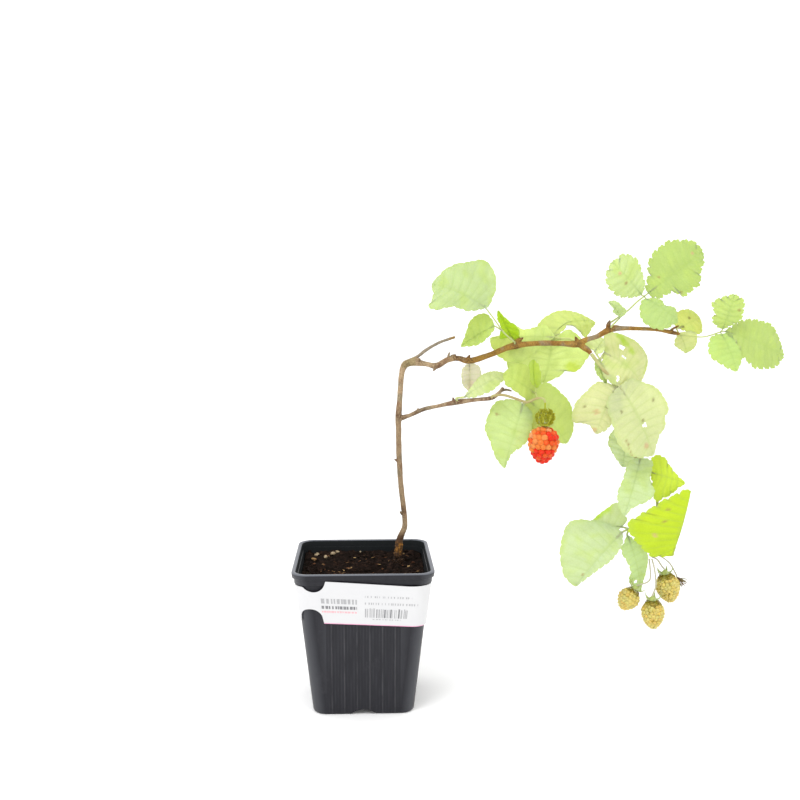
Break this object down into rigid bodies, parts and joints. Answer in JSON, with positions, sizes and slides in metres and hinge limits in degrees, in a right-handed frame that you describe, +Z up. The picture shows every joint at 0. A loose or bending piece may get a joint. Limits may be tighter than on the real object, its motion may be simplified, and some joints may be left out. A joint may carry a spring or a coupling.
{
  "type": "potted raspberry bush",
  "caption": "Small raspberry plant in a square black nursery pot: one leaning woody cane with toothed pale leaves, a ripe red berry and hanging green ones.",
  "frame": {"origin": "middle of the underside of the pot's foot, on the surface that it stands on", "axes": "+Z up, +X along the branch that leans out of the pot, -Y towards the viewer of the picture"},
  "size_m": [0.3305, 0.09, 0.3048],
  "materials": {
    "black_plastic": "satin",
    "peat": "matte",
    "label_paper": "satin",
    "bark": "matte",
    "green_shoot": "satin",
    "leaf_pale": "matte",
    "leaf_yellow": "matte",
    "leaf_vivid": "matte",
    "leaf_withered": "matte",
    "ripe_berry": "gloss",
    "unripe_berry": "satin",
    "calyx": "matte",
    "dried_flower": "matte"
  },
  "bodies": {
    "root": {"berry_lateral": "green_shoot", "berry_ripe": "ripe_berry", "berry_unripe_left": "unripe_berry", "berry_unripe_low": "unripe_berry", "berry_unripe_right": "unripe_berry", "calyx_ripe": "calyx", "calyx_unripe_left": "calyx", "calyx_unripe_low": "calyx", "calyx_unripe_right": "calyx", "cane": "bark", "dried_flower": "dried_flower", "fruiting_lateral": "green_shoot", "leaf_at_knot": "leaf_pale", "leaf_at_tip": "leaf_yellow", "leaf_behind_branch": "leaf_pale", "leaf_cane_side": "leaf_pale", "leaf_far": "leaf_pale", "leaf_folded_green": "leaf_vivid", "leaf_folded_over_berry": "leaf_vivid", "leaf_hanging_green": "leaf_pale", "leaf_hanging_yellow": "leaf_yellow", "leaf_low": "leaf_pale", "leaf_lower_node": "leaf_pale", "leaf_lower_tip": "leaf_pale", "leaf_middle": "leaf_pale", "leaf_middle_vivid": "leaf_vivid", "leaf_small_curled": "leaf_pale", "leaf_top": "leaf_pale", "leaf_vivid": "leaf_vivid", "leaf_withered": "leaf_withered", "pot": "black_plastic", "pot_label": "label_paper", "soil": "peat"}
  },
  "joints": []
}
